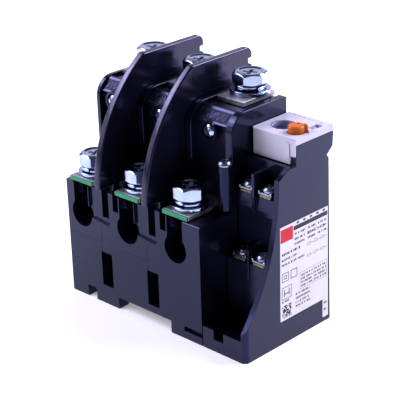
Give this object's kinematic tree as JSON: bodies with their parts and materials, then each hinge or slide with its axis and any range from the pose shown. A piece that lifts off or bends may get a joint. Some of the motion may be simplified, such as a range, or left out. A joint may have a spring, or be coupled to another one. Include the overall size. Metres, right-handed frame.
{
  "type": "thermal overload relay",
  "caption": "Three-pole thermal overload relay for a magnetic motor starter, with bolted terminals, phase barriers, trip mechanism, current dial and reset button.",
  "frame": {"origin": "centre of the bounding box in plan, at the level of the flat rear edge of the skirt", "axes": "+Z away from the mounting plate towards the line bolts, -Y towards the load terminals, +X towards the auxiliary terminals"},
  "size_m": [0.109, 0.0684, 0.113],
  "materials": {
    "housing": "moulded black thermoset, fine grain",
    "barrier": "moulded black plastic, smoother than the housing",
    "cover": "moulded pale grey plastic",
    "dial": "moulded blue-grey plastic",
    "button": "moulded orange plastic",
    "test_button": "moulded grey plastic",
    "marker": "green insulating strip",
    "label": "printed film, satin",
    "slider": "natural phenolic",
    "zinc": "bright zinc plated steel",
    "tin": "tinned copper, satin",
    "brass": "stamped brass",
    "bimetal": "rolled strip",
    "heater": "oxidised resistance ribbon",
    "spring": "drawn spring wire"
  },
  "bodies": {
    "housing": {"base_housing": "housing", "tower_housing": "housing", "side_housing": "housing", "rating_label": "label", "front_cover": "cover", "phase_barrier_1": "barrier", "phase_barrier_2": "barrier", "load_plate_1": "tin", "load_plate_2": "tin", "load_plate_3": "tin", "load_flat_washer_1": "zinc", "load_flat_washer_2": "zinc", "load_flat_washer_3": "zinc", "load_spring_washer_1": "zinc", "load_spring_washer_2": "zinc", "load_spring_washer_3": "zinc", "load_bolt_1": "zinc", "load_bolt_2": "zinc", "load_bolt_3": "zinc", "line_plate_1": "tin", "line_plate_2": "tin", "line_plate_3": "tin", "line_flat_washer_1": "zinc", "line_flat_washer_2": "zinc", "line_flat_washer_3": "zinc", "line_spring_washer_1": "zinc", "line_spring_washer_2": "zinc", "line_spring_washer_3": "zinc", "line_bolt_1": "zinc", "line_bolt_2": "zinc", "line_bolt_3": "zinc", "terminal_strip_1": "marker", "terminal_strip_2": "marker", "terminal_strip_3": "marker", "aux_terminal_1": "brass", "aux_terminal_2": "brass", "aux_terminal_3": "brass", "aux_terminal_4": "brass", "aux_screw_1": "zinc", "aux_screw_2": "zinc", "aux_screw_3": "zinc", "aux_screw_4": "zinc", "housing_screw_1": "zinc", "housing_screw_2": "zinc", "housing_screw_3": "zinc", "housing_screw_4": "zinc", "heater_1": "heater", "heater_2": "heater", "heater_3": "heater", "reset_spring": "spring"},
    "dial": {"current_dial": "dial"},
    "reset_stem": {"reset_plunger": "slider"},
    "reset_selector": {"reset_knob": "button"},
    "test_button": {"test_slider": "test_button"},
    "trip_bar": {"trip_slider": "slider"},
    "bimetal_1": {"bimetal_1": "bimetal"},
    "bimetal_2": {"bimetal_2": "bimetal"},
    "bimetal_3": {"bimetal_3": "bimetal"},
    "trip_lever": {"trip_lever": "slider"},
    "contact_arm": {"contact_arm": "brass"}
  },
  "joints": [
    {"name": "dial_turn", "type": "hinge", "parent": "housing", "child": "dial", "pos_m": [0.0391, 0.01215, 0.088], "axis": [0, 0, 1], "range_deg": [-135, 135]},
    {"name": "reset_press", "type": "slide", "parent": "housing", "child": "reset_stem", "axis": [0, 0, 1], "range_m": [-0.0015, 0], "stiffness_N_per_m": 60, "springref_m": 0.001, "deforming": ["reset_spring"]},
    {"name": "reset_select", "type": "hinge", "parent": "reset_stem", "child": "reset_selector", "pos_m": [0.0486, 0.00885, 0.092], "axis": [0, 0, 1], "range_deg": [0, 60]},
    {"name": "test_slide", "type": "slide", "parent": "housing", "child": "test_button", "axis": [0, 1, 0], "range_m": [0, 0.002], "stiffness_N_per_m": 40},
    {"name": "trip_slide", "type": "slide", "parent": "housing", "child": "trip_bar", "axis": [1, 0, 0], "range_m": [0, 0.0025], "stiffness_N_per_m": 60},
    {"name": "bimetal_1_bend", "type": "hinge", "parent": "housing", "child": "bimetal_1", "pos_m": [-0.0398, 0.00315, 0.059], "axis": [0, -1, 0], "range_deg": [0, 3.4]},
    {"name": "bimetal_2_bend", "type": "hinge", "parent": "housing", "child": "bimetal_2", "pos_m": [-0.0102, 0.00315, 0.059], "axis": [0, -1, 0], "range_deg": [0, 3.4]},
    {"name": "bimetal_3_bend", "type": "hinge", "parent": "housing", "child": "bimetal_3", "pos_m": [0.0194, 0.00315, 0.059], "axis": [0, -1, 0], "range_deg": [0, 3.4]},
    {"name": "trip_lever_turn", "type": "hinge", "parent": "housing", "child": "trip_lever", "pos_m": [0.0397, 0.01215, 0.042], "axis": [0, -1, 0], "range_deg": [0, 4.6]},
    {"name": "contact_turn", "type": "hinge", "parent": "housing", "child": "contact_arm", "pos_m": [0.0357, 0.01115, 0.05], "axis": [0, -1, 0], "range_deg": [0, 6.7]}
  ],
  "couplings": [
    {"joint": "bimetal_1_bend", "follows": "trip_slide", "rad_per_m": 23},
    {"joint": "bimetal_2_bend", "follows": "trip_slide", "rad_per_m": 23},
    {"joint": "bimetal_3_bend", "follows": "trip_slide", "rad_per_m": 23},
    {"joint": "trip_lever_turn", "follows": "trip_slide", "rad_per_m": 31.5},
    {"joint": "contact_turn", "follows": "trip_slide", "rad_per_m": 46}
  ]
}
